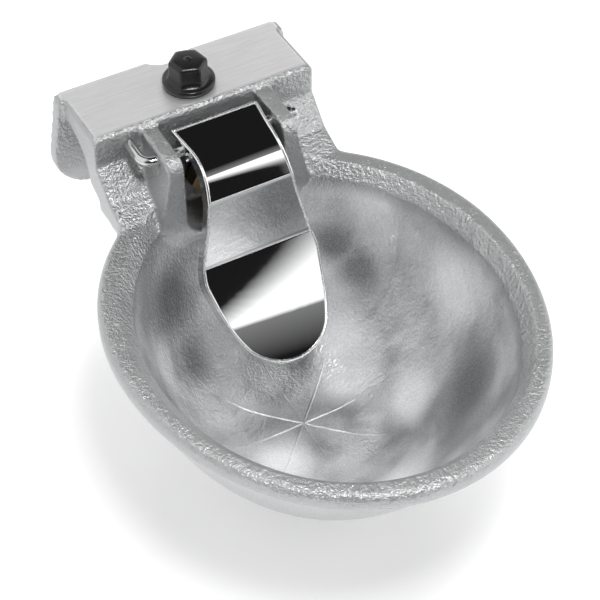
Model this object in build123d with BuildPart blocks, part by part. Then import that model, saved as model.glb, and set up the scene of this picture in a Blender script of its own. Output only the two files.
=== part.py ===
# Cast drinking bowl for cattle and horses: the animal's nose pushes the steel tongue,
# which pushes the stem of a brass valve behind it and lets water run into the bowl.
# Frame: X to the right, Y towards the wall, Z up. The wall face is Y = 0 and the
# bolt line is Z = 0. Lengths are in millimetres.
import os
from math import cos, radians, sin, sqrt

from build123d import *

os.makedirs("parts", exist_ok=True)

# Bowl: every level is an egg, two half ellipses that meet on its widest line
bowl_half_width = 100.0
bowl_front_reach = 120.1
bowl_rear_reach = 108.9
rim_rear_y = -44.2
bottom_shift = 14.6
rim_top_z = 3.0
rim_height = 9.0
rim_land = 9.0
rim_overhang = 2.4
front_overhang = 3.8
rim_outer_round = 4.0
rim_under_round = 2.0
mouth_shift = 6.0
mouth_bevel = 6.0
mouth_bevel_depth = 7.0
bowl_depth = 103.0
bottom_wall = 6.5
outer_power = 3.0
inner_power = 3.7
bowl_levels = (0.22, 0.42, 0.6, 0.76, 0.89, 1.0)

# Saddle: top plate, front wall and neck, open at both ends
plate_z = 38.0
saddle_half = 59.4
saddle_depth = 41.6
plate_thick = 5.5
end_rib_thick = 7.0
end_arch_radius = 22.0
end_arch_top = 10.5
arch_gap = 3.0
arch_foot_run = 4.0
arch_foot_drop = 2.0
hollow_round = 4.0
front_wall = 6.0
front_wall_drop = 16.0
facet_foot_y = -54.6
facet_foot_z = 8.6
neck_skin = 9.0
neck_slope_run = 14.4
neck_flare = 14.0
top_edge_round = 3.0

# Rear flange against the wall
flange_thick = 7.0
flange_top_half = 61.4
flange_half = 66.9
flange_knee_z = 4.0
flange_drop = 17.0
flange_corner = 20.6
bolt_spacing = 76.0
bolt_hole_radius = 5.25
pipe_groove_radius = 16.85
pipe_groove_depth = 5.0

# Water way: one upright channel, plugged above and open below
channel_y = -24.0
channel_radius = 9.3
thread_radius = 10.48
boss_wall = 6.0
valve_boss_wall = 5.0
boss_drop = 26.0
boss_tie_half = 10.0
plug_thread_depth = 15.0
inlet_thread_depth = 15.0
valve_z = -2.0
thread_gap = 0.1

# Ears and hinge pin
ear_inner = 26.4
ear_thick = 8.5
ear_reach = 30.4
ear_top_drop = 2.5
ear_top_fall = 0.8
ear_round = 7.0
ear_draft_z = 24.5
ear_foot_half = 42.0
ear_foot_z = -9.0
ear_bend_z = -4.0
ear_low_z = -24.0
ear_low_run = 5.5
ear_root_run = 8.0
pocket_round = 19.0
pocket_gap = 4.0
pin_y = -59.0
pin_z = 29.7
pin_radius = 2.5
pin_hole_radius = 2.55
pin_bend = 6.0
pin_rest_gap = 0.2
clip_washer_thick = 1.0
clip_washer_radius = 4.3
clip_thick = 0.8
clip_radius = 4.0
clip_groove_radius = 1.9
clip_play = 0.1
pin_nose = 3.4
pin_nose_round = 1.2

# Tongue, pressed from sheet along a line that slopes 45 degrees
sheet = 1.5
skirt = 6.5
tongue_back_y = -50.7
tongue_back_z = 36.7
shoulder_y = -71.5
shoulder_z = 35.0
upper_crease_y = -87.8
upper_crease_z = 19.0
lower_crease_y = -93.0
lower_crease_z = -16.2
tongue_tip_y = -134.5
tongue_tip_z = -56.0
paddle_hollow = 3.5
tongue_back_half = 22.9
tongue_waist_half = 20.9
tongue_crease_half = 29.9
tongue_widest_half = 30.8
waist_run = 18.2
tip_radius = 24.0
tip_arc_angle = 30.0
hinge_tab_radius = 6.0
tongue_hole_radius = 2.58

# Valve cartridge along Y
gasket_thick = 1.5
hex_flats = 24.0
hex_thick = 8.0
body_thread_length = 11.0
nose_radius = 8.0
nose_length = 9.0
outlet_radius = 4.6
rear_bore_radius = 7.5
rear_bore_length = 12.0
seat_thick = 3.0
seat_bore_radius = 4.0
disc_thick = 3.0
disc_radius = 5.9
stem_radius = 2.5
stem_head_radius = 5.6
stem_head_thick = 1.6
stem_spigot = 2.5
stem_gap = 0.35
guide_thick = 3.0
fit_gap = 0.05
cage_wall = 1.1
cage_length = 12.0
cage_grip = 2.5
spring_wire = 0.5
spring_radius = 3.9
spring_turns = 5
strainer_wall = 1.0
strainer_length = 13.0
strainer_radius = 9.6

# Top plug
collar_radius = 13.0
collar_thick = 2.8
plug_gasket_thick = 0.9
plug_hex_flats = 17.0
plug_height = 15.0
plug_thread_length = 12.0

# Sizes that follow from the ones above
rim_widest_y = rim_rear_y - bowl_rear_reach
bottom_widest_y = rim_widest_y + bottom_shift
rim_under_z = rim_top_z - rim_height
floor_z = rim_top_z - bowl_depth
body_top_z = rim_top_z - rim_height / 2
mouth_widest_y = rim_widest_y - mouth_shift
mouth_half_width = bowl_half_width - rim_land
mouth_front_reach = bowl_front_reach - rim_land - mouth_shift
mouth_rear_reach = bowl_rear_reach - rim_land + mouth_shift
mouth_foot_z = rim_top_z - mouth_bevel_depth
underside_z = floor_z - bottom_wall
front_face_y = -saddle_depth
boss_radius = thread_radius + boss_wall
valve_boss_radius = thread_radius + valve_boss_wall
ear_outer = ear_inner + ear_thick
pocket_floor_z = valve_z - hex_flats / sqrt(3) - pocket_gap
gasket_face_y = front_face_y - gasket_thick
hex_face_y = gasket_face_y - hex_thick
nose_tip_y = hex_face_y - nose_length
thread_end_y = gasket_face_y + body_thread_length
seat_y = thread_end_y - rear_bore_length
disc_y = seat_y + seat_thick
head_y = disc_y + disc_thick
cage_mouth_y = thread_end_y - cage_grip
cage_end_y = cage_mouth_y + cage_length
strainer_end_y = thread_end_y + strainer_length
waist_half_slope = (tongue_back_half - tongue_waist_half) / waist_run


def egg(half_width, front_reach, rear_reach, widest_y):
    """Closed outline of one level, drawn into the open line block."""
    EllipticalCenterArc((0, widest_y), half_width, rear_reach, 0, arc_size=180)
    EllipticalCenterArc((0, widest_y), half_width, front_reach, 180, arc_size=180)


def bowl_form(half_width, front_reach, rear_reach, widest_y, bottom_z, top_z, power):
    """Solid whose height grows with a power of the size of its level."""
    with BuildPart() as form:
        for level in bowl_levels:
            rise = level**power
            with BuildSketch(Plane.XY.offset(bottom_z + (top_z - bottom_z) * rise)):
                with BuildLine():
                    egg(
                        half_width * level,
                        front_reach * level,
                        rear_reach * level,
                        bottom_widest_y + (widest_y - bottom_widest_y) * rise,
                    )
                make_face()
        loft()
    return form.part


def rod_y(radius, start_y, end_y, z=valve_z):
    """Cylinder along Y, made outside the casting and the valve pieces."""
    with BuildPart() as rod:
        with BuildSketch(Plane((0, start_y, z), x_dir=(1, 0, 0), z_dir=(0, 1, 0))):
            Circle(radius)
        extrude(amount=end_y - start_y)
    return rod.part


# Bowl, rim, saddle, flange, bosses and ears are one casting
outer_bowl = bowl_form(
    bowl_half_width - rim_overhang,
    bowl_front_reach - front_overhang,
    bowl_rear_reach - rim_overhang,
    rim_widest_y,
    underside_z,
    body_top_z,
    outer_power,
)
mouth_foot = (
    mouth_half_width - mouth_bevel,
    mouth_front_reach - mouth_bevel,
    mouth_rear_reach - mouth_bevel,
    mouth_widest_y,
)
with BuildPart() as inner_bowl:
    add(bowl_form(*mouth_foot, floor_z, mouth_foot_z, inner_power))
    with BuildSketch(Plane.XY.offset(mouth_foot_z)):
        with BuildLine():
            egg(*mouth_foot)
        make_face()
    with BuildSketch(Plane.XY.offset(rim_top_z)) as mouth:
        with BuildLine():
            egg(mouth_half_width, mouth_front_reach, mouth_rear_reach, mouth_widest_y)
        make_face()
    loft(ruled=True)
    # The mouth also trims the foot of the neck above the rim
    extrude(mouth.sketch, amount=facet_foot_z - rim_top_z)

with BuildPart() as rim_band:
    with BuildSketch(Plane.XY.offset(rim_under_z)):
        with BuildLine():
            egg(bowl_half_width, bowl_front_reach, bowl_rear_reach, rim_widest_y)
        make_face()
        neck_run = front_face_y - facet_foot_y + 2 * neck_skin
        with Locations((0, front_face_y - neck_run / 2)):
            Rectangle(2 * saddle_half, neck_run)
        kinks = vertices().filter_by(lambda v: abs(abs(v.X) - saddle_half) < 0.1)
        fillet(kinks.group_by(Axis.Y)[0], neck_flare)
    extrude(amount=rim_height)
    fillet(faces().sort_by(Axis.Z)[-1].edges(), rim_outer_round)
    fillet(faces().sort_by(Axis.Z)[0].edges(), rim_under_round)

# Top plate, front wall and neck in one section along X
arch_y = -flange_thick - arch_gap
arch_z = plate_z - end_arch_top
with BuildPart() as saddle:
    with BuildSketch(Plane.YZ):
        with BuildLine():
            Polyline(
                (arch_y, arch_z),
                (0, arch_z),
                (0, plate_z),
                (front_face_y, plate_z),
                (front_face_y, plate_z - front_wall_drop),
                (facet_foot_y, facet_foot_z),
                (facet_foot_y - neck_slope_run, rim_top_z),
                (facet_foot_y - neck_slope_run, rim_under_z),
                (facet_foot_y, rim_under_z),
                (arch_y - end_arch_radius - arch_foot_run, arch_z - end_arch_radius - arch_foot_drop),
                (arch_y - end_arch_radius, arch_z - end_arch_radius),
            )
            RadiusArc(
                (arch_y - end_arch_radius, arch_z - end_arch_radius),
                (arch_y, arch_z),
                end_arch_radius,
            )
        make_face()
    extrude(amount=saddle_half, both=True)
    plate_edges = faces().sort_by(Axis.Z)[-1].edges()
    fillet(plate_edges.sort_by(Axis.Y)[:-1], top_edge_round)

# Ears, from the front wall down to the inside of the bowl, wider towards their feet
ear_tip_y = front_face_y - ear_reach
ear_top_z = plate_z - ear_top_drop
with BuildPart() as ears:
    with BuildSketch(Plane.YZ):
        with BuildLine():
            Polyline(
                (front_face_y + 1.0, ear_top_z),
                (ear_tip_y, ear_top_z - ear_top_fall),
                (ear_tip_y, ear_bend_z),
                (ear_tip_y + ear_low_run, ear_low_z),
                (facet_foot_y - ear_root_run - sheet, ear_low_z),
                (facet_foot_y - ear_root_run, ear_low_z / 2),
                (front_face_y + 1.0, facet_foot_z),
                close=True,
            )
        make_face()
        fillet(vertices().group_by(Axis.Y)[-2], ear_round)
    extrude(amount=ear_foot_half, both=True)
    with BuildSketch(Plane.XZ):
        with BuildLine():
            Polyline(
                (0, plate_z),
                (ear_outer, plate_z),
                (ear_outer, ear_draft_z),
                (ear_foot_half, ear_foot_z),
                (ear_foot_half, ear_low_z),
                (0, ear_low_z),
            )
            mirror(about=Plane.YZ)
        make_face()
    extrude(amount=-2 * ear_tip_y, both=True, mode=Mode.INTERSECT)

with BuildPart() as casting:
    add(outer_bowl)
    add(rim_band.part)
    add(saddle.part)
    # Rear flange, wider towards its foot
    with BuildSketch(Plane.XZ):
        with BuildLine():
            Polyline(
                (-flange_top_half, plate_z),
                (-flange_half, flange_knee_z),
                (-flange_half, -flange_drop),
                (flange_half, -flange_drop),
                (flange_half, flange_knee_z),
                (flange_top_half, plate_z),
                close=True,
            )
        make_face()
        fillet(vertices().group_by(Axis.Y)[0], flange_corner)
        fillet(vertices().group_by(Axis.Y)[-1], top_edge_round)
    extrude(amount=flange_thick)
    # Hollow of the saddle between its two end ribs
    hollow_depth = saddle_depth - front_wall - flange_thick
    hollow_low_z = arch_z - end_arch_radius
    hollow_top_z = plate_z - plate_thick
    with BuildSketch(Plane.YZ):
        with Locations((-flange_thick - hollow_depth / 2, (hollow_low_z + hollow_top_z) / 2)):
            Rectangle(hollow_depth, hollow_top_z - hollow_low_z)
        fillet(vertices().group_by(Axis.Y)[-1], hollow_round)
    extrude(amount=saddle_half - end_rib_thick, both=True, mode=Mode.SUBTRACT)
    # Upright boss for the water channel, tied to the flange, and the boss for the valve
    with BuildSketch(Plane.XY.offset(valve_z - boss_drop)):
        with Locations((0, channel_y)):
            Circle(boss_radius)
    extrude(amount=boss_drop - valve_z + plate_z - 1.0)
    with BuildSketch(Plane.XY.offset(-flange_drop)):
        with Locations((0, channel_y / 2)):
            Rectangle(2 * boss_tie_half, -channel_y - 1.0)
    extrude(amount=flange_drop + plate_z - 1.0)
    with BuildSketch(Plane.XZ.offset(-channel_y)):
        with Locations((0, valve_z)):
            Circle(valve_boss_radius)
    extrude(amount=saddle_depth + channel_y)
    # Walls of the pocket that the valve sits in
    with BuildSketch(Plane.XY.offset(pocket_floor_z - front_wall)):
        with Locations((0, front_face_y - front_wall)):
            Rectangle(2 * (ear_inner + front_wall), 4 * front_wall)
    extrude(amount=facet_foot_z - pocket_floor_z + front_wall)
    # Inside of the bowl with its mouth, then the ears in it
    add(inner_bowl.part, mode=Mode.SUBTRACT)
    add(ears.part)
    # Pocket between the ears, open upwards and into the bowl
    with BuildSketch(Plane.XZ.offset(saddle_depth)):
        with Locations((0, (pocket_floor_z + plate_z + 1.0) / 2)):
            Rectangle(2 * ear_inner, plate_z + 1.0 - pocket_floor_z)
        fillet(vertices().group_by(Axis.Y)[0], pocket_round)
    extrude(amount=2 * saddle_depth, mode=Mode.SUBTRACT)
    # Water channel with its two thread seats and the seat of the valve
    with Locations((0, channel_y, plate_z)):
        Cylinder(
            channel_radius,
            boss_drop - valve_z + plate_z + 1.0,
            align=(Align.CENTER, Align.CENTER, Align.MAX),
            mode=Mode.SUBTRACT,
        )
        Cylinder(
            thread_radius,
            plug_thread_depth,
            align=(Align.CENTER, Align.CENTER, Align.MAX),
            mode=Mode.SUBTRACT,
        )
    with Locations((0, channel_y, valve_z - boss_drop)):
        Cylinder(
            thread_radius,
            inlet_thread_depth,
            align=(Align.CENTER, Align.CENTER, Align.MIN),
            mode=Mode.SUBTRACT,
        )
    add(rod_y(thread_radius, front_face_y - 1.0, strainer_end_y + 1.0), mode=Mode.SUBTRACT)
    # Groove for a pipe down the middle of the flange, and the two bolt holes
    with Locations((0, pipe_groove_radius - pipe_groove_depth, (plate_z - flange_drop) / 2)):
        Cylinder(pipe_groove_radius, plate_z + flange_drop + 20.0, mode=Mode.SUBTRACT)
    with BuildSketch(Plane.XZ):
        with GridLocations(bolt_spacing, 1, 2, 1):
            Circle(bolt_hole_radius)
    extrude(amount=flange_thick + 1.0, mode=Mode.SUBTRACT)
    # Hole for the hinge pin through both ears
    with BuildSketch(Plane.YZ):
        with Locations((pin_y, pin_z)):
            Circle(pin_hole_radius)
    extrude(amount=ear_outer + 1.0, both=True, mode=Mode.SUBTRACT)
casting.part.label = "bowl_casting"


def tongue_form(inset, top, bottom):
    """Tongue outline pressed between two copies of its side profile."""
    across = (bottom - top, top - bottom)
    with BuildPart() as form:
        with BuildSketch(Plane.YZ):
            with BuildLine():
                slope = (tongue_back_z - shoulder_z) / (tongue_back_y - shoulder_y)
                back = (tongue_back_y + 2.0 + top, tongue_back_z + 2.0 * slope - top)
                shoulder = (shoulder_y + top, shoulder_z - top)
                upper = (upper_crease_y + top, upper_crease_z - top)
                lower = (lower_crease_y + top, lower_crease_z - top)
                tip = (tongue_tip_y - 2.0 + top, tongue_tip_z - 1.4 - top)
                Line(back, shoulder)
                TangentArc(shoulder, upper, tangent=(-1, -slope))
                Line(upper, lower)
                SagittaArc(lower, tip, paddle_hollow)
                Line(tip, (tip[0] + across[0], tip[1] + across[1]))
                SagittaArc(
                    (lower[0] + across[0], lower[1] + across[1]),
                    (tip[0] + across[0], tip[1] + across[1]),
                    paddle_hollow,
                )
                Line(
                    (upper[0] + across[0], upper[1] + across[1]),
                    (lower[0] + across[0], lower[1] + across[1]),
                )
                TangentArc(
                    (shoulder[0] + across[0], shoulder[1] + across[1]),
                    (upper[0] + across[0], upper[1] + across[1]),
                    tangent=(-1, -slope),
                )
                Line(
                    (shoulder[0] + across[0], shoulder[1] + across[1]),
                    (back[0] + across[0], back[1] + across[1]),
                )
                Line((back[0] + across[0], back[1] + across[1]), back)
            make_face()
        extrude(amount=2 * tongue_widest_half, both=True)
        press = Plane((0, pin_y, pin_z), x_dir=(1, 0, 0), z_dir=(0, -1, 1))
        with BuildSketch(press):
            with BuildLine():
                back_v = (tongue_back_y + tongue_back_z - pin_y - pin_z) / sqrt(2)
                crease_v = (lower_crease_y + lower_crease_z - pin_y - pin_z) / sqrt(2)
                tip_v = (tongue_tip_y + tongue_tip_z - pin_y - pin_z) / sqrt(2)
                swing = radians(tip_arc_angle)
                tip_side = (
                    (tip_radius - inset) * cos(swing),
                    tip_v + tip_radius - (tip_radius - inset) * sin(swing),
                )
                back_side = (tongue_back_half - inset, back_v - inset)
                Spline(
                    back_side,
                    (tongue_waist_half - inset, back_v - waist_run),
                    (tongue_waist_half + 2.4 - inset, back_v - 42.0),
                    (tongue_crease_half - inset, crease_v),
                    (tongue_widest_half - inset, crease_v - 11.0),
                    tip_side,
                    tangents=((-0.11, -1), (-sin(swing), -cos(swing))),
                )
                RadiusArc(tip_side, (0, tip_v + inset), tip_radius - inset)
                Line(back_side, (0, back_v - inset))
                mirror(about=Plane.YZ)
            make_face()
        extrude(amount=200.0, both=True, mode=Mode.INTERSECT)
    return form.part


pin_v = (tongue_back_y + tongue_back_z - pin_y - pin_z) / sqrt(2)
pin_half = tongue_back_half - waist_half_slope * pin_v
with BuildPart() as tongue:
    add(tongue_form(0, 0, skirt))
    add(tongue_form(sheet, sheet, skirt + 5.0), mode=Mode.SUBTRACT)
    for side in (-1, 1):
        with Locations((side * (pin_half - sheet / 2), pin_y, pin_z)):
            Cylinder(hinge_tab_radius, sheet, rotation=(0, 90, 0))
    with Locations((0, pin_y, pin_z)):
        Cylinder(tongue_hole_radius, 2 * tongue_back_half + 4.0, rotation=(0, 90, 0), mode=Mode.SUBTRACT)
tongue.part.label = "tongue"

# Hinge pin: left end bent back against the front wall, right end grooved for the clip
washer_x = ear_outer + clip_play
clip_x = washer_x + clip_washer_thick
pin_end_x = clip_x + clip_thick + pin_nose
bend_x = -(ear_outer + pin_bend + 0.5)
with BuildPart() as hinge_pin:
    with BuildLine() as pin_path:
        Line((pin_end_x, pin_y, pin_z), (bend_x + pin_bend, pin_y, pin_z))
        bend_middle = (
            bend_x + pin_bend * (1 - sin(radians(45))),
            pin_y + pin_bend * (1 - cos(radians(45))),
            pin_z,
        )
        ThreePointArc(
            (bend_x + pin_bend, pin_y, pin_z),
            bend_middle,
            (bend_x, pin_y + pin_bend, pin_z),
        )
        Line((bend_x, pin_y + pin_bend, pin_z), (bend_x, front_face_y - pin_rest_gap, pin_z))
    with BuildSketch(Plane((pin_end_x, pin_y, pin_z), x_dir=(0, 1, 0), z_dir=(-1, 0, 0))):
        Circle(pin_radius)
    sweep(path=pin_path.line)
    fillet(faces().sort_by(Axis.X)[-1].edges(), pin_nose_round)
    with BuildSketch(Plane((clip_x, pin_y, pin_z), x_dir=(0, 1, 0), z_dir=(1, 0, 0))):
        Circle(pin_radius + 1.0)
        Circle(clip_groove_radius, mode=Mode.SUBTRACT)
    extrude(amount=clip_thick + clip_play, mode=Mode.SUBTRACT)
hinge_pin.part.label = "hinge_pin"

with BuildPart() as pin_washer:
    with BuildSketch(Plane((washer_x, pin_y, pin_z), x_dir=(0, 1, 0), z_dir=(1, 0, 0))):
        Circle(clip_washer_radius)
        Circle(pin_hole_radius, mode=Mode.SUBTRACT)
    extrude(amount=clip_washer_thick)
pin_washer.part.label = "pin_washer"

with BuildPart() as pin_clip:
    clip_plane = Plane((clip_x + clip_play / 2, pin_y, pin_z), x_dir=(0, 1, 0), z_dir=(1, 0, 0))
    with BuildSketch(clip_plane):
        Circle(clip_radius)
        Circle(clip_groove_radius + fit_gap, mode=Mode.SUBTRACT)
        with Locations((-clip_radius, 0)):
            Rectangle(2 * clip_radius, 2 * clip_groove_radius - 0.6, mode=Mode.SUBTRACT)
    extrude(amount=clip_thick)
pin_clip.part.label = "pin_clip"

# Top plug and its gasket
collar_z = plate_z + plug_gasket_thick
with BuildPart() as plug_gasket:
    with BuildSketch(Plane.XY.offset(plate_z)):
        with Locations((0, channel_y)):
            Circle(collar_radius - 0.5)
            Circle(thread_radius + 0.3, mode=Mode.SUBTRACT)
    extrude(amount=plug_gasket_thick)
plug_gasket.part.label = "plug_gasket"

with BuildPart() as top_plug:
    with BuildSketch(Plane.XY.offset(collar_z - plug_thread_length)):
        with Locations((0, channel_y)):
            Circle(thread_radius - thread_gap)
    extrude(amount=plug_thread_length)
    chamfer(faces().sort_by(Axis.Z)[0].edges(), 1.0)
    with BuildSketch(Plane.XY.offset(collar_z)):
        with Locations((0, channel_y)):
            Circle(collar_radius)
    extrude(amount=collar_thick)
    fillet(faces().sort_by(Axis.Z)[-1].edges(), 1.0)
    with BuildSketch(Plane.XY.offset(collar_z + collar_thick)):
        with Locations((0, channel_y)):
            RegularPolygon(plug_hex_flats / 2, 6, major_radius=False, rotation=12)
    extrude(amount=plate_z + plug_height - collar_z - collar_thick, taper=1.5)
    with BuildSketch(Plane.XY.offset(collar_z + collar_thick)):
        with Locations((0, channel_y)):
            Circle(plug_hex_flats / 2 + 2.6)
    extrude(amount=1.8, taper=45)
    with BuildSketch(Plane.XY.offset(plate_z + plug_height)):
        with Locations((0, channel_y)):
            Circle(1.3)
    extrude(amount=0.5)
top_plug.part.label = "top_plug"

# Valve cartridge, screwed into the boss from the pocket
across_flats_plane = Plane((0, gasket_face_y, valve_z), x_dir=(1, 0, 0), z_dir=(0, -1, 0))
with BuildPart() as body_gasket:
    with BuildSketch(across_flats_plane):
        Circle(hex_flats / 2)
        Circle(thread_radius + 0.3, mode=Mode.SUBTRACT)
    extrude(amount=-gasket_thick)
body_gasket.part.label = "body_gasket"

with BuildPart() as valve_body:
    with BuildSketch(across_flats_plane):
        RegularPolygon(hex_flats / 2, 6, major_radius=False)
    extrude(amount=hex_thick)
    add(rod_y(nose_radius, nose_tip_y, hex_face_y))
    add(rod_y(thread_radius - thread_gap, gasket_face_y, thread_end_y))
    add(rod_y(outlet_radius, nose_tip_y - 1.0, seat_y), mode=Mode.SUBTRACT)
    add(rod_y(rear_bore_radius, seat_y, thread_end_y + 1.0), mode=Mode.SUBTRACT)
    fillet(faces().sort_by(Axis.Y)[0].outer_wire().edges(), 1.2)
valve_body.part.label = "valve_body"

with BuildPart() as stem_guide:
    add(rod_y(outlet_radius - fit_gap, nose_tip_y + 1.0, nose_tip_y + 1.0 + guide_thick))
    add(rod_y(stem_radius + fit_gap, nose_tip_y, nose_tip_y + 2.0 + guide_thick), mode=Mode.SUBTRACT)
    guide_plane = Plane((0, nose_tip_y, valve_z), x_dir=(1, 0, 0), z_dir=(0, 1, 0))
    with BuildSketch(guide_plane):
        with PolarLocations(outlet_radius, 3, start_angle=30):
            Circle(1.5)
    extrude(amount=guide_thick + 2.0, mode=Mode.SUBTRACT)
stem_guide.part.label = "stem_guide"

with BuildPart() as valve_seat:
    add(rod_y(rear_bore_radius - fit_gap, seat_y, disc_y))
    add(rod_y(seat_bore_radius, seat_y - 1.0, disc_y + 1.0), mode=Mode.SUBTRACT)
valve_seat.part.label = "valve_seat"

with BuildPart() as seal_disc:
    add(rod_y(disc_radius, disc_y, head_y))
    add(rod_y(stem_radius + fit_gap, disc_y - 1.0, head_y + 1.0), mode=Mode.SUBTRACT)
seal_disc.part.label = "seal_disc"

# The stem stops just short of the back of the tongue
panel_slope = (upper_crease_y - lower_crease_y) / (upper_crease_z - lower_crease_z)
panel_back_y = lower_crease_y + panel_slope * (valve_z + sheet - lower_crease_z) + sheet
stem_tip_y = panel_back_y + stem_gap
with BuildPart() as valve_stem:
    add(rod_y(stem_radius, stem_tip_y, head_y))
    add(rod_y(stem_head_radius, head_y, head_y + stem_head_thick))
    add(rod_y(stem_radius, head_y + stem_head_thick, head_y + stem_head_thick + stem_spigot))
    fillet(faces().sort_by(Axis.Y)[0].edges(), stem_radius - 0.4)
valve_stem.part.label = "valve_stem"

spring_start_y = head_y + stem_head_thick
spring_end_y = cage_end_y - cage_wall
with BuildPart() as valve_spring:
    spring_run = spring_end_y - spring_start_y - 2 * spring_wire - 0.1
    with BuildLine() as coil:
        Helix(
            spring_run / spring_turns,
            spring_run,
            spring_radius,
            center=(0, spring_start_y + spring_wire + fit_gap, valve_z),
            direction=(0, 1, 0),
        )
    with BuildSketch(Plane(coil.line @ 0, z_dir=coil.line % 0)):
        RegularPolygon(spring_wire, 6)
    sweep(path=coil.line, is_frenet=True)
valve_spring.part.label = "valve_spring"

with BuildPart() as spring_cage:
    add(rod_y(rear_bore_radius - fit_gap, cage_mouth_y, cage_end_y))
    add(rod_y(rear_bore_radius - cage_wall, cage_mouth_y - 1.0, cage_end_y - cage_wall), mode=Mode.SUBTRACT)
    cage_plane = Plane((0, cage_end_y + 1.0, valve_z), x_dir=(1, 0, 0), z_dir=(0, -1, 0))
    with BuildSketch(cage_plane):
        with PolarLocations(rear_bore_radius, 4):
            Rectangle(3 * cage_wall, 4.5)
    extrude(amount=cage_length - cage_grip - cage_wall, mode=Mode.SUBTRACT)
spring_cage.part.label = "spring_cage"

with BuildPart() as strainer:
    add(rod_y(strainer_radius, thread_end_y, strainer_end_y))
    add(rod_y(strainer_radius - strainer_wall, thread_end_y - 1.0, strainer_end_y - strainer_wall), mode=Mode.SUBTRACT)
    for row in range(3):
        with BuildSketch(Plane.XY.offset(valve_z)):
            with Locations((0, thread_end_y + 3.0 + 3.2 * row)):
                Rectangle(4 * strainer_radius, 1.6)
        extrude(amount=4.0, both=True, mode=Mode.SUBTRACT)
strainer.part.label = "strainer"

for piece in (
    casting,
    tongue,
    hinge_pin,
    pin_washer,
    pin_clip,
    plug_gasket,
    top_plug,
    body_gasket,
    valve_body,
    stem_guide,
    valve_seat,
    seal_disc,
    valve_stem,
    valve_spring,
    spring_cage,
    strainer,
):
    export_step(piece.part, f"parts/{piece.part.label}.step")
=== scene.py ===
from math import atan2, cos, radians, sin, sqrt

import bmesh
import bpy
from mathutils import Matrix, Vector
from mathutils.bvhtree import BVHTree


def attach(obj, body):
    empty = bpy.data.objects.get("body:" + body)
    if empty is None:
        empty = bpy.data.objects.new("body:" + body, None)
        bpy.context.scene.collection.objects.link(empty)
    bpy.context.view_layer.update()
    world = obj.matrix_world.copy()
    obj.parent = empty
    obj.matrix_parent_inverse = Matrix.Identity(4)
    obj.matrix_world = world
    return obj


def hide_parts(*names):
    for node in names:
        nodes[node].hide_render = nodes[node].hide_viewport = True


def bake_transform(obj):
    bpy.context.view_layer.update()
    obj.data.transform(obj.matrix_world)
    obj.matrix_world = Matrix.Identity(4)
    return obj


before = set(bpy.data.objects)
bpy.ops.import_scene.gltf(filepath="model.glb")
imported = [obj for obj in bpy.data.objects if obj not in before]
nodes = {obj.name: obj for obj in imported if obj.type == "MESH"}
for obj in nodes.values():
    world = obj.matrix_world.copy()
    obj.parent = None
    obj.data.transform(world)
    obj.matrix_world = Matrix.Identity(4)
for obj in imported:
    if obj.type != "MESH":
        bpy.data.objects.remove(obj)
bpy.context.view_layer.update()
print("frame loaded:", len(nodes), "nodes")


def addObject(name, mesh, body):
    obj = bpy.data.objects.new(name, mesh)
    bpy.context.collection.objects.link(obj)
    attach(obj, body)
    return obj


def meshFrom(bm, name, smooth=True, recalc=True):
    bmesh.ops.remove_doubles(bm, verts=bm.verts, dist=1e-6)
    if recalc:
        bmesh.ops.recalc_face_normals(bm, faces=bm.faces)
    mesh = bpy.data.meshes.new(name)
    bm.to_mesh(mesh)
    bm.free()
    for face in mesh.polygons:
        face.use_smooth = smooth
    return mesh


def vertsOf(geometry):
    return [item for item in geometry if isinstance(item, bmesh.types.BMVert)]


def dress(mesh, materialKey):
    mesh.materials.clear()
    mesh.materials.append(materials[materialKey])


def applyModifiers(obj):
    graph = bpy.context.evaluated_depsgraph_get()
    mesh = bpy.data.meshes.new_from_object(obj.evaluated_get(graph))
    obj.modifiers.clear()
    obj.data = mesh


def mergedCopy(nodeName):
    bm = bmesh.new()
    bm.from_mesh(nodes[nodeName].data)
    bmesh.ops.remove_doubles(bm, verts=bm.verts, dist=1e-6)
    mesh = bpy.data.meshes.new(nodeName + "Copy")
    bm.to_mesh(mesh)
    bm.free()
    return mesh


def socket(tree, kind, values=None, **settings):
    item = tree.nodes.new(kind)
    for key, value in settings.items():
        setattr(item, key, value)
    for key, value in (values or {}).items():
        if isinstance(value, bpy.types.NodeSocket):
            tree.links.new(value, item.inputs[key])
        else:
            item.inputs[key].default_value = value
    return item


def blankMaterial(name):
    material = bpy.data.materials.new(name)
    material.use_nodes = True
    tree = material.node_tree
    tree.nodes.clear()
    shader = tree.nodes.new("ShaderNodeBsdfPrincipled")
    out = tree.nodes.new("ShaderNodeOutputMaterial")
    tree.links.new(shader.outputs[0], out.inputs["Surface"])
    return material, tree, shader


def maths(tree, operation, first, second):
    return socket(tree, "ShaderNodeMath", {0: first, 1: second}, operation=operation).outputs[0]


def vectorMaths(tree, operation, first, second, result=0):
    item = socket(tree, "ShaderNodeVectorMath", {0: first, 1: second}, operation=operation)
    return item.outputs[result]


def times(tree, *values):
    total = values[0]
    for value in values[1:]:
        total = maths(tree, "MULTIPLY", total, value)
    return total


def ramp(tree, factor, low, high, lowValue, highValue):
    return socket(tree, "ShaderNodeMapRange", {
        0: factor, 1: low, 2: high, 3: lowValue, 4: highValue}, clamp=True).outputs[0]


def mixValue(tree, factor, first, second):
    values = {0: factor, 2: first, 3: second}
    return socket(tree, "ShaderNodeMix", values, data_type="FLOAT").outputs[0]


def mixColour(tree, factor, first, second):
    values = {0: factor, 6: first, 7: second}
    return socket(tree, "ShaderNodeMix", values, data_type="RGBA").outputs[2]


def objectPoint(tree):
    return tree.nodes.new("ShaderNodeTexCoord").outputs["Object"]


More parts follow.
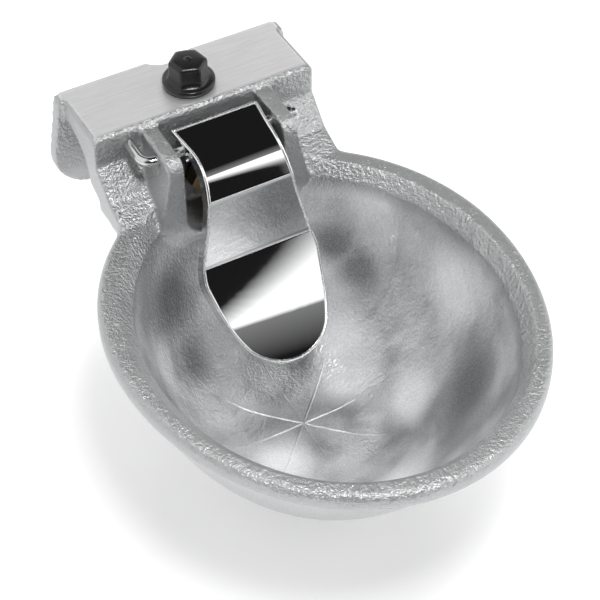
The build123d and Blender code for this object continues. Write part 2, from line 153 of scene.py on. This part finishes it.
def newGroup(name, inputs, outputs):
    group = bpy.data.node_groups.new(name, "ShaderNodeTree")
    for label, kind, value in inputs:
        item = group.interface.new_socket(label, in_out="INPUT", socket_type=kind)
        if value is not None:
            item.default_value = value
    for label, kind in outputs:
        group.interface.new_socket(label, in_out="OUTPUT", socket_type=kind)
    return group, group.nodes.new("NodeGroupInput"), group.nodes.new("NodeGroupOutput")


def useGroup(tree, group, values):
    item = tree.nodes.new("ShaderNodeGroup")
    item.node_tree = group
    for key, value in values.items():
        if isinstance(value, bpy.types.NodeSocket):
            tree.links.new(value, item.inputs[key])
        else:
            item.inputs[key].default_value = value
    return item


grainNoise = dict(pebbleDetail=2.0, pebbleRoughness=0.55, gritDetail=1.0, gritRoughness=0.5,
                  gritShare=0.35, patchScale=42.0, patchDetail=3.0)


def makeSandGrain():
    # skin of a sand casting: pebbles, the finer grit on them, and large soft patches
    group, inside, out = newGroup("sandGrain", [
        ("Point", "NodeSocketVector", None),
        ("Pebble Size", "NodeSocketFloat", 0.002),
        ("Grit Size", "NodeSocketFloat", 0.0006)], [
        ("Height", "NodeSocketFloat"), ("Grit", "NodeSocketFloat"), ("Patch", "NodeSocketFloat")])
    point = inside.outputs["Point"]
    pebble = socket(group, "ShaderNodeTexNoise", {
        "Vector": point, "Scale": maths(group, "DIVIDE", 1.0, inside.outputs["Pebble Size"]),
        "Detail": grainNoise["pebbleDetail"], "Roughness": grainNoise["pebbleRoughness"]})
    grit = socket(group, "ShaderNodeTexNoise", {
        "Vector": point, "Scale": maths(group, "DIVIDE", 1.0, inside.outputs["Grit Size"]),
        "Detail": grainNoise["gritDetail"], "Roughness": grainNoise["gritRoughness"]})
    patch = socket(group, "ShaderNodeTexNoise", {
        "Vector": point, "Scale": grainNoise["patchScale"], "Detail": grainNoise["patchDetail"]})
    fine = times(group, grit.outputs["Fac"], grainNoise["gritShare"])
    height = maths(group, "ADD", pebble.outputs["Fac"], fine)
    group.links.new(height, out.inputs["Height"])
    group.links.new(grit.outputs["Fac"], out.inputs["Grit"])
    group.links.new(patch.outputs["Fac"], out.inputs["Patch"])
    return group


streakNoise = dict(detail=4.0, roughness=0.6)


def makeStreaks():
    # fine lines that grinding, drawing or turning leaves, stretched by the scale per axis
    group, inside, out = newGroup("grindStreaks", [
        ("Point", "NodeSocketVector", None), ("Stretch", "NodeSocketVector", (1.0, 1.0, 1.0))],
        [("Streak", "NodeSocketFloat")])
    stretched = vectorMaths(group, "MULTIPLY", inside.outputs["Point"], inside.outputs["Stretch"])
    noise = socket(group, "ShaderNodeTexNoise", {
        "Vector": stretched, "Scale": 1.0, "Detail": streakNoise["detail"],
        "Roughness": streakNoise["roughness"]})
    group.links.new(noise.outputs["Fac"], out.inputs["Streak"])
    return group


sandGrain = makeSandGrain()
grindStreaks = makeStreaks()

castFinish = dict(
    colour=(0.95, 0.955, 0.96, 1.0), dark=(0.27, 0.275, 0.28, 1.0),
    roughness=(0.50, 0.30), metal=(0.97, 0.42), metalFrom=0.45,  # casting skin, then worn skin and the painted highlights
    pebble=0.0017, grit=0.0007, bump=1.0, bumpDepth=0.0009, cloudHeight=2.2,
    cloud=(0.36, 0.64), cloudWear=(0.42, 0.72), speck=(0.44, 0.56), speckFloor=(0.15, -0.30),
    axis=(0.0, -0.1385, 0.010), insideBlend=0.004, outsideWear=0.62,
    coarseZ=(-0.012, -0.002), coarseLow=0.45, coarseWear=0.34,  # rim and saddle
    plateZ=0.0372, plateBlend=0.0004, plateLevel=(0.93, 0.985), plateStretch=(60.0, 2600.0, 60.0),
    plateStreak=(0.3, 0.7), plateGrey=(0.80, 0.95), plateRoughness=0.36, plateMetal=0.8,
    plateHeight=0.12, spotCore=0.2,
    paintedHighlights=(  # painted highlights, bright spots where light glints in the bowl: centre and reach
        ((0.040, -0.108, -0.088), 0.026), ((0.033, -0.126, -0.096), 0.022),
        ((0.050, -0.160, -0.084), 0.024), ((-0.022, -0.156, -0.099), 0.024),
        ((-0.060, -0.106, -0.056), 0.020), ((0.076, -0.150, -0.030), 0.030),
        ((0.063, -0.094, -0.010), 0.022), ((0.010, -0.208, -0.076), 0.030)),
    paintedShade=(  # painted shade: places in the bowl darkened where shade falls
        ((0.056, -0.098, -0.053), 0.020), ((-0.042, -0.079, -0.043), 0.026),
        ((0.048, -0.084, -0.042), 0.018), ((0.062, -0.196, -0.052), 0.034),
        ((-0.040, -0.090, -0.080), 0.020)))


def spots(tree, point, places):
    # one soft spot around each place
    total = 0.0
    for centre, reach in places:
        away = vectorMaths(tree, "DISTANCE", point, centre, "Value")
        near = socket(tree, "ShaderNodeMapRange", {
            0: away, 1: castFinish["spotCore"] * reach, 2: reach, 3: 1.0, 4: 0.0},
            interpolation_type="SMOOTHSTEP").outputs[0]
        total = maths(tree, "MAXIMUM", near, total)
    return total


def insideMask(tree, point, normal):
    # 1 on faces that look towards the middle of the bowl
    toAxis = vectorMaths(tree, "SUBTRACT", castFinish["axis"], point)
    inward = vectorMaths(tree, "DOT_PRODUCT", toAxis, normal, "Value")
    return ramp(tree, inward, -castFinish["insideBlend"], castFinish["insideBlend"], 0.0, 1.0)


def plateMask(tree, height, normal):
    # 1 on the linished top of the saddle
    low, top = (castFinish["plateZ"] + side * castFinish["plateBlend"] for side in (-1, 1))
    level = socket(tree, "ShaderNodeSeparateXYZ", {0: normal}).outputs["Z"]
    return times(tree, ramp(tree, height, low, top, 0.0, 1.0),
                 ramp(tree, level, *castFinish["plateLevel"], 0.0, 1.0))


def makeCastAluminium():
    material, tree, shader = blankMaterial("castAluminium")
    point = objectPoint(tree)
    normal = tree.nodes.new("ShaderNodeNewGeometry").outputs["Normal"]
    z = socket(tree, "ShaderNodeSeparateXYZ", {0: point}).outputs["Z"]
    grain = useGroup(tree, sandGrain, {
        "Point": point, "Pebble Size": castFinish["pebble"], "Grit Size": castFinish["grit"]})
    streak = useGroup(tree, grindStreaks, {"Point": point, "Stretch": castFinish["plateStretch"]})
    plate = plateMask(tree, z, normal)
    # the rim and the saddle are coarser than the inside of the bowl
    coarseRange = (castFinish["coarseLow"], 1.0)
    coarse = ramp(tree, z, *castFinish["coarseZ"], *coarseRange)
    # wear and painted light run from 0, the dark casting skin and the painted shade, to 1, the worn
    # bright skin and the painted highlights
    wearAndPaintedLight = ramp(tree, grain.outputs["Patch"], *castFinish["cloud"], *castFinish["cloudWear"])
    # painted highlights: pale, smooth spots inside the bowl where light glints
    wearAndPaintedLight = mixValue(tree, spots(tree, point, castFinish["paintedHighlights"]), wearAndPaintedLight, 1.0)
    # painted shade: dark spots inside the bowl where shade falls
    wearAndPaintedLight = mixValue(tree, spots(tree, point, castFinish["paintedShade"]), wearAndPaintedLight, 0.0)
    wearAndPaintedLight = mixValue(tree, insideMask(tree, point, normal), castFinish["outsideWear"], wearAndPaintedLight)
    wearAndPaintedLight = mixValue(tree, ramp(tree, coarse, *coarseRange, 0.0, 1.0), wearAndPaintedLight, castFinish["coarseWear"])
    speck = ramp(tree, grain.outputs["Grit"], *castFinish["speck"], 0.0, 1.0)
    lift = ramp(tree, coarse, *coarseRange, *castFinish["speckFloor"])
    lift = mixValue(tree, lift, wearAndPaintedLight, speck)
    lift = socket(tree, "ShaderNodeClamp", {0: lift}).outputs[0]
    skin = mixColour(tree, lift, castFinish["dark"], castFinish["colour"])
    grey = ramp(tree, streak.outputs["Streak"], *castFinish["plateStreak"], *castFinish["plateGrey"])
    grey = socket(tree, "ShaderNodeCombineColor", {0: grey, 1: grey, 2: grey}).outputs[0]
    tree.links.new(mixColour(tree, plate, skin, grey), shader.inputs["Base Color"])
    rough = ramp(tree, wearAndPaintedLight, 0.0, 1.0, *castFinish["roughness"])
    rough = mixValue(tree, plate, rough, castFinish["plateRoughness"])
    tree.links.new(rough, shader.inputs["Roughness"])
    metal = ramp(tree, wearAndPaintedLight, castFinish["metalFrom"], 1.0, *castFinish["metal"])
    metal = mixValue(tree, plate, metal, castFinish["plateMetal"])
    tree.links.new(metal, shader.inputs["Metallic"])
    cloud = times(tree, grain.outputs["Patch"], castFinish["cloudHeight"])
    height = maths(tree, "ADD", times(tree, grain.outputs["Height"], coarse), cloud)
    lines = times(tree, streak.outputs["Streak"], castFinish["plateHeight"])
    bump = socket(tree, "ShaderNodeBump", {
        "Strength": castFinish["bump"], "Distance": castFinish["bumpDepth"],
        "Height": mixValue(tree, plate, height, lines)})
    tree.links.new(bump.outputs[0], shader.inputs["Normal"])
    return material


steelFinish = dict(streak=(0.3, 0.7), bump=0.1)


def makeSteel(name, colour, roughness, stretch, bumpDepth):
    material, tree, shader = blankMaterial(name)
    streak = useGroup(tree, grindStreaks, {"Point": objectPoint(tree), "Stretch": stretch})
    streak = streak.outputs["Streak"]
    rough = ramp(tree, streak, *steelFinish["streak"], *roughness)
    tree.links.new(rough, shader.inputs["Roughness"])
    bump = socket(tree, "ShaderNodeBump", {
        "Strength": steelFinish["bump"], "Distance": bumpDepth, "Height": streak})
    tree.links.new(bump.outputs[0], shader.inputs["Normal"])
    shader.inputs["Base Color"].default_value = colour
    shader.inputs["Metallic"].default_value = 1.0
    return material


mouldedFinish = dict(patch=(0.3, 0.7), lighter=1.25, gritShare=1 / 3, bump=0.3)


def makeMoulded(name, colour, roughness, grainSize, bumpDepth):
    material, tree, shader = blankMaterial(name)
    grain = useGroup(tree, sandGrain, {
        "Point": objectPoint(tree), "Pebble Size": grainSize,
        "Grit Size": grainSize * mouldedFinish["gritShare"]})
    patch = grain.outputs["Patch"]
    rough = ramp(tree, patch, *mouldedFinish["patch"], *roughness)
    tree.links.new(rough, shader.inputs["Roughness"])
    lighter = tuple(min(1.0, share * mouldedFinish["lighter"]) for share in colour[:3]) + (1.0,)
    tree.links.new(mixColour(tree, patch, colour, lighter), shader.inputs["Base Color"])
    bump = socket(tree, "ShaderNodeBump", {
        "Strength": mouldedFinish["bump"], "Distance": bumpDepth, "Height": grain.outputs["Height"]})
    tree.links.new(bump.outputs[0], shader.inputs["Normal"])
    return material


# name, colour, roughness, scale per axis or grain size, depth of the bump
materials = dict(
    cast=makeCastAluminium(),
    tongueSteel=makeSteel("mirrorSteel", (0.80, 0.805, 0.81, 1.0), (0.018, 0.032),
                          (300.0, 300.0, 300.0), 0.00001),
    edgeSteel=makeSteel("edgeSteel", (0.92, 0.925, 0.93, 1.0), (0.22, 0.30),
                        (300.0, 300.0, 300.0), 0.00001),
    pinSteel=makeSteel("drawnSteel", (0.68, 0.68, 0.68, 1.0), (0.16, 0.26),
                       (40.0, 2500.0, 2500.0), 0.00005),
    stemSteel=makeSteel("stemSteel", (0.66, 0.66, 0.65, 1.0), (0.18, 0.30),
                        (900.0, 40.0, 900.0), 0.00005),
    springSteel=makeSteel("springSteel", (0.50, 0.50, 0.52, 1.0), (0.22, 0.34),
                          (400.0, 400.0, 400.0), 0.00005),
    plugPlastic=makeMoulded("plugPlastic", (0.006, 0.006, 0.0065, 1.0), (0.20, 0.30), 0.0016, 0.0001),
    rubber=makeMoulded("sealRubber", (0.02, 0.02, 0.021, 1.0), (0.55, 0.72), 0.0008, 0.0001),
    nylon=makeMoulded("whiteNylon", (0.72, 0.71, 0.67, 1.0), (0.38, 0.50), 0.0012, 0.00005),
    brass=makeSteel("turnedBrass", (0.20, 0.15, 0.085, 1.0), (0.34, 0.48),
                    (80.0, 1500.0, 80.0), 0.00006),
)
print("materials made:", len(materials))


bowl = dict(
    voxel=0.0010, soften=0.5, smoothing=2, kept=0.52, centre=(0.0, -0.1385), floorZ=-0.1,
    ribWidth=0.0013, ribHeight=0.0007, ribSteps=24, ribColumns=4, ribTaper=0.75, ribTuck=0.0001,
    ribRayZ=(-0.06, -0.005),  # start heights of the rays that lay a rib down, middle and far end
    ribs=((0, 0.030), (45, 0.045), (90, 0.047), (135, 0.058),  # heading and reach
          (180, 0.055), (225, 0.051), (270, 0.030), (315, 0.050)))


def makeBowlCasting():
    # the casting with the soft corners that a sand mould leaves
    piece = addObject("bowlCasting", mergedCopy("bowl_casting"), "bowl")
    remesh = piece.modifiers.new("castSkin", "REMESH")
    remesh.mode = "VOXEL"
    remesh.voxel_size = bowl["voxel"]
    remesh.use_smooth_shade = True
    soften = piece.modifiers.new("soften", "SMOOTH")
    soften.factor = bowl["soften"]
    soften.iterations = bowl["smoothing"]
    thin = piece.modifiers.new("thin", "DECIMATE")
    thin.ratio = bowl["kept"]
    applyModifiers(piece)
    dress(piece.data, "cast")
    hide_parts("bowl_casting")
    return piece


casting = makeBowlCasting()
print("casting:", len(casting.data.polygons), "faces")


def ribPlace(tree, angle, reach, along, across):
    # a point of a rib: along from the middle to its end, across from -1 to 1
    taper = 1.0 - bowl["ribTaper"] * along**3
    flat = Vector((along * reach, across * bowl["ribWidth"] * 0.5 * taper, 0.0))
    flat.rotate(Matrix.Rotation(radians(angle), 3, "Z"))
    x, y = bowl["centre"][0] + flat.x, bowl["centre"][1] + flat.y
    start, end = bowl["ribRayZ"]
    hit = tree.ray_cast(Vector((x, y, start + (end - start) * along)), Vector((0, 0, -1)))[0]
    lift = bowl["ribHeight"] * taper * (1.0 - across**2) - bowl["ribTuck"] * abs(across)
    return Vector((x, y, (hit.z if hit else bowl["floorZ"]) + lift))


def makeStarRibs():
    bm = bmesh.new()
    surface = bmesh.new()
    surface.from_mesh(casting.data)
    tree = BVHTree.FromBMesh(surface)
    for angle, reach in bowl["ribs"]:
        strip = bmesh.ops.create_grid(
            bm, x_segments=bowl["ribSteps"], y_segments=bowl["ribColumns"], size=0.5)["verts"]
        for vert in strip:
            vert.co = ribPlace(tree, angle, reach, vert.co.x + 0.5, vert.co.y * 2.0)
    surface.free()
    piece = addObject("starRibs", meshFrom(bm, "starRibs"), "bowl")
    dress(piece.data, "cast")


makeStarRibs()
print("ribs made")


tongue = dict(
    pin=(-0.059, 0.0297), back=(-0.0507, 0.0367), shoulder=(-0.0690, 0.0352),  # side view, y and z
    bendEnd=(-0.0849, 0.0247), upper=(-0.0878, 0.0190), lower=(-0.0930, -0.0162),
    tip=(-0.1345, -0.0560), hollow=0.0035, bendSteps=30, hollowSteps=40,
    backHalf=0.0229, waistHalf=0.0209, neckHalf=0.0233, creaseHalf=0.0299, widestHalf=0.0308,
    waistRun=0.0182, neckRun=0.042, widestRun=0.011, backSlope=0.11,
    tipRadius=0.0240, tipSwing=30.0, bowFrom=0.55, rows=120, columns=36,
    sheet=0.0013, skirt=0.0085, lip=0.0012, lipSteps=4,
    edgeRadius=0.0008, edgeRound=3, edgeSink=0.0002, edgeInset=0.028, edgeEnds=(0.005, 0.993),
    edgeSteps=80,
    tabRadius=0.0058, tabHole=0.0026, tabInset=0.0006, tabSides=48)


def arcPoints(start, end, tangent, count):
    # an arc that leaves start along tangent and ends at end, in the side view
    chord = end - start
    turn = atan2(tangent.x * chord.y - tangent.y * chord.x, tangent.dot(chord))
    points = []
    for step in range(1, count + 1):
        part = turn * step / count
        reach = chord.length * sin(part) / sin(turn)
        points.append(start + Matrix.Rotation(part, 2) @ tangent * reach)
    return points


def pressLine(point):
    # how far a side-view point lies up the slanted direction that the tongue is pressed across
    return ((point[0] - tongue["pin"][0]) + (point[1] - tongue["pin"][1])) / sqrt(2)


def sideProfile():
    # back edge, bend, upper crease, lower crease and hollow paddle
    back, shoulder, bendEnd = (Vector(tongue[key]) for key in ("back", "shoulder", "bendEnd"))
    upper, lower, tip = (Vector(tongue[key]) for key in ("upper", "lower", "tip"))
    bend = arcPoints(shoulder, bendEnd, (shoulder - back).normalized(), tongue["bendSteps"])
    chord = tip - lower
    lean = 2 * atan2(tongue["hollow"], chord.length / 2)
    leaving = Matrix.Rotation(lean, 2) @ chord.normalized()
    paddle = arcPoints(lower, tip, leaving, tongue["hollowSteps"])
    return [(pressLine(point), point.x, point.y)
            for point in [back, shoulder] + bend + [upper, lower] + paddle]


def onProfile(profile, v):
    for (v0, y0, z0), (v1, y1, z1) in zip(profile, profile[1:]):
        if v >= v1:
            part = (v - v0) / (v1 - v0)
            return y0 + (y1 - y0) * part, z0 + (z1 - z0) * part
    return profile[-1][1:]


def sideHalf(v, knots):
    # half width of the tongue where the press line is at v, one smooth curve through its widths
    for (v0, w0, m0), (v1, w1, m1) in zip(knots, knots[1:]):
        if v >= v1:
            t, run = (v - v0) / (v1 - v0), v1 - v0
            return ((2 * t**3 - 3 * t**2 + 1) * w0 + (t**3 - 2 * t**2 + t) * run * m0
                    + (3 * t**2 - 2 * t**3) * w1 + (t**3 - t**2) * run * m1)
    return knots[-1][1]


def widthKnots():
    # press line, half width and slope of the outline where the tongue changes
    backV, creaseV, tipV = (pressLine(tongue[key]) for key in ("back", "lower", "tip"))
    swing = radians(tongue["tipSwing"])
    sideV = tipV + tongue["tipRadius"] * (1 - sin(swing))
    plain = [(backV, tongue["backHalf"]), (backV - tongue["waistRun"], tongue["waistHalf"]),
             (backV - tongue["neckRun"], tongue["neckHalf"]), (creaseV, tongue["creaseHalf"]),
             (creaseV - tongue["widestRun"], tongue["widestHalf"]),
             (sideV, tongue["tipRadius"] * cos(swing))]
    slopes = [tongue["backSlope"]]
    for (v0, w0), (v2, w2) in zip(plain, plain[2:]):
        slopes.append((w2 - w0) / (v2 - v0))
    slopes.append(sin(swing) / cos(swing))
    return [(v, w, m) for (v, w), m in zip(plain, slopes)]


def tonguePoint(profile, knots, across, down):
    # a point of the pressed sheet: across from -1 to 1, down from the back edge to the tip
    backV, sideV = knots[0][0], knots[-1][0]
    span = radians(90 - tongue["tipSwing"])
    v = backV + (sideV - backV) * down
    half = sideHalf(v, knots)
    # rows bow out towards the round tip
    bulge = max(0.0, (down - tongue["bowFrom"]) / (1 - tongue["bowFrom"])) ** 2
    bow = tongue["tipRadius"] * (cos(span * across) - cos(span)) * bulge
    x = half * (across + (sin(span * across) / sin(span) - across) * bulge)
    return Vector((x, *onProfile(profile, v - bow)))


def makeTongue():
    # the pressed sheet with its turned-down skirt and rounded fold
    profile, knots = sideProfile(), widthKnots()
    bm = bmesh.new()
    bmesh.ops.create_grid(bm, x_segments=tongue["columns"], y_segments=tongue["rows"], size=1.0)
    for vert in bm.verts:
        vert.co = tonguePoint(profile, knots, vert.co.x, (1 - vert.co.y) / 2)
    rim = [edge for edge in bm.edges if edge.is_boundary]
    skirt = vertsOf(bmesh.ops.extrude_edge_only(bm, edges=rim)["geom"])
    drop = Vector((0, 1, -1)).normalized() * tongue["skirt"]
    bmesh.ops.translate(bm, verts=skirt, vec=drop)
    bmesh.ops.recalc_face_normals(bm, faces=bm.faces)
    fold = [edge for edge in rim if edge.is_valid]
    bmesh.ops.bevel(bm, geom=fold, offset=tongue["lip"], offset_type="OFFSET",
                    segments=tongue["lipSteps"], profile=0.5, affect="EDGES", material=-1,
                    clamp_overlap=True)
    bmesh.ops.recalc_face_normals(bm, faces=bm.faces)
    if sum(face.normal.z * face.calc_area() for face in bm.faces) < 0:
        bmesh.ops.reverse_faces(bm, faces=bm.faces)
    mesh = meshFrom(bm, "tongueSheet", recalc=False)
    piece = addObject("tongueSheet", mesh, "tongue")
    wall = piece.modifiers.new("sheet", "SOLIDIFY")
    wall.thickness = tongue["sheet"]
    wall.offset = -1.0
    applyModifiers(piece)
    dress(piece.data, "tongueSteel")
    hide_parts("tongue")


def edgePath():
    # down the left side, round the tip, up the right side and back along the rear edge
    profile, knots = sideProfile(), widthKnots()
    side = 1 - tongue["edgeInset"]
    rear, tip = tongue["edgeEnds"]
    steps = [step / tongue["edgeSteps"] for step in range(tongue["edgeSteps"])]
    places = [(-side, rear + (tip - rear) * step) for step in steps]
    places += [(side * (2 * step - 1), tip) for step in steps]
    places += [(side, tip - (tip - rear) * step) for step in steps]
    places += [(side * (1 - 2 * step), rear) for step in steps]
    sink = Vector((0, 0.7, -0.7)) * tongue["edgeSink"]
    return [tonguePoint(profile, knots, across, down) + sink for across, down in places]


def makeTongueEdge():
    # the rolled edge that runs round the sheet
    path = edgePath()
    curve = bpy.data.curves.new("tongueEdge", "CURVE")
    curve.dimensions = "3D"
    curve.bevel_depth = tongue["edgeRadius"]
    curve.bevel_resolution = tongue["edgeRound"]
    line = curve.splines.new("POLY")
    line.points.add(len(path) - 1)
    for spot, place in zip(line.points, path):
        spot.co = (*place, 1.0)
    line.use_cyclic_u = True
    shape = bpy.data.objects.new("edgeLine", curve)
    bpy.context.collection.objects.link(shape)
    graph = bpy.context.evaluated_depsgraph_get()
    mesh = bpy.data.meshes.new_from_object(shape.evaluated_get(graph))
    bpy.data.objects.remove(shape)
    for face in mesh.polygons:
        face.use_smooth = True
    piece = addObject("tongueEdge", mesh, "tongue")
    dress(piece.data, "edgeSteel")


def makeTongueTabs():
    # two round tabs under the sheet, with the holes that the pin runs through
    pinY, pinZ = tongue["pin"]
    half = tongue["backHalf"] - tongue["tabInset"]
    shrink = tongue["tabHole"] / tongue["tabRadius"]
    bm = bmesh.new()
    for shift in (-half, half - tongue["sheet"]):
        ring = bmesh.ops.create_circle(
            bm, segments=tongue["tabSides"], radius=tongue["tabRadius"], cap_ends=False)["verts"]
        edges = list({edge for vert in ring for edge in vert.link_edges})
        inner = vertsOf(bmesh.ops.extrude_edge_only(bm, edges=edges)["geom"])
        bmesh.ops.scale(bm, verts=inner, vec=(shrink, shrink, shrink))
        faces = list({face for vert in ring + inner for face in vert.link_faces})
        thick = vertsOf(bmesh.ops.extrude_face_region(bm, geom=faces)["geom"])
        bmesh.ops.translate(bm, verts=thick, vec=(0, 0, tongue["sheet"]))
        tab = ring + inner + thick
        bmesh.ops.rotate(bm, verts=tab, cent=(0, 0, 0), matrix=Matrix.Rotation(radians(90), 3, "Y"))
        bmesh.ops.translate(bm, verts=tab, vec=(shift, pinY, pinZ))
    mesh = meshFrom(bm, "tongueTabs", smooth=False)
    piece = addObject("tongueTabs", mesh, "tongue")
    dress(piece.data, "tongueSteel")


makeTongue()
makeTongueEdge()
makeTongueTabs()
print("tongue made")


plug = dict(
    axis=(0.0, -0.024), turn=12.0, sides=96, cornerCut=1.125,
    levels=(  # height, radius and share of the hexagon, from the thread up
        (0.0269, 0.01038, 0.0), (0.0389, 0.01038, 0.0), (0.0389, 0.0126, 0.0), (0.0393, 0.0130, 0.0),
        (0.0411, 0.0130, 0.0), (0.0417, 0.0123, 0.0), (0.0418, 0.0112, 0.0), (0.0423, 0.0101, 0.35),
        (0.0435, 0.0092, 0.8), (0.0451, 0.0085, 1.0), (0.0503, 0.0085, 1.0), (0.0516, 0.0083, 0.9),
        (0.0524, 0.0074, 0.35), (0.0527, 0.0060, 0.0), (0.0528, 0.0024, 0.0), (0.0528, 0.0018, 0.0),
        (0.0534, 0.0014, 0.0), (0.0535, 0.0006, 0.0)))


def hexRadius(angle, flats):
    # distance from the axis to a hexagon with slightly rounded corners
    nearest = (angle + radians(30)) % radians(60) - radians(30)
    return min(flats / 2 / cos(nearest), flats / 2 * plug["cornerCut"])


def makePlug():
    x0, y0 = plug["axis"]
    bm = bmesh.new()
    ring = bmesh.ops.create_circle(bm, segments=plug["sides"], radius=1.0, cap_ends=True)["verts"]
    loop = list(bm.edges)
    for index, (z, radius, hexShare) in enumerate(plug["levels"]):
        if index:
            grown = bmesh.ops.extrude_edge_only(bm, edges=loop)["geom"]
            ring = vertsOf(grown)
            loop = [item for item in grown if isinstance(item, bmesh.types.BMEdge)
                    and all(vert in ring for vert in item.verts)]
        for vert in ring:  # the first ring still lies round the origin
            angle = atan2(vert.co.y - (y0 if index else 0.0), vert.co.x - (x0 if index else 0.0))
            wide = hexRadius(angle - radians(plug["turn"]), 2 * radius)
            reach = radius + (wide - radius) * hexShare
            vert.co = Vector((x0 + cos(angle) * reach, y0 + sin(angle) * reach, z))
    bmesh.ops.contextual_create(bm, geom=loop)
    piece = addObject("waterPlug", meshFrom(bm, "waterPlug"), "bowl")
    dress(piece.data, "plugPlastic")
    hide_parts("top_plug")


makePlug()
print("plug made")


def makeSpring():
    # the coils sit between the stem, which moves, and the cage, which stays; they are copied as they
    # are
    mesh = mergedCopy("valve_spring")
    piece = bpy.data.objects.new("springCoils", mesh)
    bpy.context.collection.objects.link(piece)
    dress(mesh, "springSteel")
    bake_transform(piece)
    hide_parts("valve_spring")


makeSpring()
print("spring made")


finishOf = dict(
    hinge_pin="pinSteel", pin_washer="pinSteel", pin_clip="springSteel",
    plug_gasket="rubber", body_gasket="rubber", valve_body="brass",
    stem_guide="nylon", valve_seat="nylon", seal_disc="rubber", valve_stem="stemSteel",
    spring_cage="nylon", strainer="nylon")
for nodeName, key in finishOf.items():
    for slot in nodes[nodeName].material_slots:
        slot.material = materials[key]
print("carried-over nodes dressed:", len(finishOf))


stage = dict(size=6.0, z=-0.1054, colour=(0.62, 0.62, 0.625, 1.0), roughness=0.9, glow=0.42)


def makeFloor():
    bm = bmesh.new()
    bmesh.ops.create_grid(bm, x_segments=1, y_segments=1, size=stage["size"])
    bmesh.ops.translate(bm, verts=bm.verts, vec=(0, 0, stage["z"]))
    mesh = bpy.data.meshes.new("floor")
    bm.to_mesh(mesh)
    bm.free()
    floor = bpy.data.objects.new("floor", mesh)
    bpy.context.collection.objects.link(floor)
    material, tree, shader = blankMaterial("paleFloor")
    shader.inputs["Base Color"].default_value = stage["colour"]
    shader.inputs["Roughness"].default_value = stage["roughness"]
    shader.inputs["Specular IOR Level"].default_value = 0.0
    shader.inputs["Emission Color"].default_value = (1.0, 1.0, 1.0, 1.0)
    rays = tree.nodes.new("ShaderNodeLightPath").outputs
    seen = maths(tree, "MAXIMUM", rays["Is Camera Ray"], rays["Is Glossy Ray"])
    seen = maths(tree, "MAXIMUM", seen, rays["Is Transmission Ray"])
    tree.links.new(times(tree, seen, stage["glow"]), shader.inputs["Emission Strength"])
    mesh.materials.append(material)


# soft panels far away: heading in degrees from -Y towards +X, then where each edge fades, as
# tangents seen from the bowl, and the strength
sky = dict(dark=0.012, grazing=(0.05, 0.10), panels=(
    dict(heading=52.0, left=(-0.60, -0.53), right=(0.90, 1.20),
         low=(-0.10, 0.10), high=(1.02, 1.08), strength=1.5),  # front right
    dict(heading=52.0, left=(-60.0, -50.0), right=(50.0, 60.0),
         low=(0.98, 1.06), high=(1.06, 1.70), strength=0.24),  # the haze above it
    dict(heading=150.0, left=(-1.10, -0.80), right=(0.90, 1.20),
         low=(-0.10, 0.10), high=(0.62, 0.90), strength=0.8),  # back
    dict(heading=-118.0, left=(-1.70, -1.40), right=(1.30, 1.60),
         low=(-0.10, 0.10), high=(4.0, 7.0), strength=0.95)))  # left


def heading(azimuth):
    # level direction, turned from -Y towards +X
    return (sin(radians(azimuth)), -cos(radians(azimuth)), 0.0)


def softBox(tree, direction, panel):
    # one upright panel of light, cut out by its left, right, lower and upper edges
    facing, side, height = (vectorMaths(tree, "DOT_PRODUCT", direction, axis, "Value") for axis in (
        heading(panel["heading"]), heading(panel["heading"] + 90.0), (0.0, 0.0, 1.0)))
    near = maths(tree, "MAXIMUM", facing, sky["grazing"][0])
    side = maths(tree, "DIVIDE", side, near)
    height = maths(tree, "DIVIDE", height, near)
    edges = (ramp(tree, side, *panel["left"], 0.0, 1.0), ramp(tree, side, *panel["right"], 1.0, 0.0),
             ramp(tree, height, *panel["low"], 0.0, 1.0),
             ramp(tree, height, *panel["high"], 1.0, 0.0))
    return times(tree, ramp(tree, facing, *sky["grazing"], 0.0, 1.0), *edges, panel["strength"])


def makeWorld():
    world = bpy.data.worlds.new("studio")
    bpy.context.scene.world = world
    world.use_nodes = True
    tree = world.node_tree
    tree.nodes.clear()
    out = tree.nodes.new("ShaderNodeOutputWorld")
    rays = tree.nodes.new("ShaderNodeLightPath").outputs
    direction = tree.nodes.new("ShaderNodeTexCoord").outputs["Generated"]
    total = sky["dark"]
    for panel in sky["panels"]:
        total = maths(tree, "ADD", softBox(tree, direction, panel), total)
    strength = mixValue(tree, rays["Is Camera Ray"], total, 1.0)
    back = socket(tree, "ShaderNodeBackground", {
        "Color": (1.0, 1.0, 1.0, 1.0), "Strength": strength})
    tree.links.new(back.outputs[0], out.inputs["Surface"])


lamps = dict(
    fill=dict(place=(0.55, 0.45, 1.30), target=(0, -0.13, 0), size=(1.3, 1.3), watts=20.0,
              glossy=False),
    top=dict(place=(-0.05, -0.50, 0.95), target=(0, -0.16, -0.05), size=(0.22, 0.22), watts=6.0,
             glossy=True))


def makeLamps():
    for name, item in lamps.items():
        light = bpy.data.lights.new(name, "AREA")
        light.shape = "RECTANGLE"
        light.size, light.size_y = item["size"]
        light.energy = item["watts"]
        lamp = bpy.data.objects.new(name, light)
        place = Vector(item["place"])
        lamp.location = place
        lamp.rotation_euler = (Vector(item["target"]) - place).to_track_quat("-Z", "Y").to_euler()
        lamp.visible_glossy = item["glossy"]
        bpy.context.collection.objects.link(lamp)


view = dict(azimuth=-29.184, elevation=45.715, lens=108.0, sensor=36.0, clipStart=0.01,
            place=(-0.2880, -0.6506, 0.5915))


def makeCamera():
    data = bpy.data.cameras.new("camera")
    data.lens = view["lens"]
    data.sensor_width = view["sensor"]
    data.clip_start = view["clipStart"]
    camera = bpy.data.objects.new("camera", data)
    camera.location = view["place"]
    camera.rotation_euler = (radians(90.0 - view["elevation"]), 0.0, radians(view["azimuth"]))
    bpy.context.collection.objects.link(camera)
    bpy.context.scene.camera = camera


makeFloor()
makeWorld()
makeLamps()
makeCamera()
bpy.context.scene.view_settings.view_transform = "Standard"
print("stage ready")
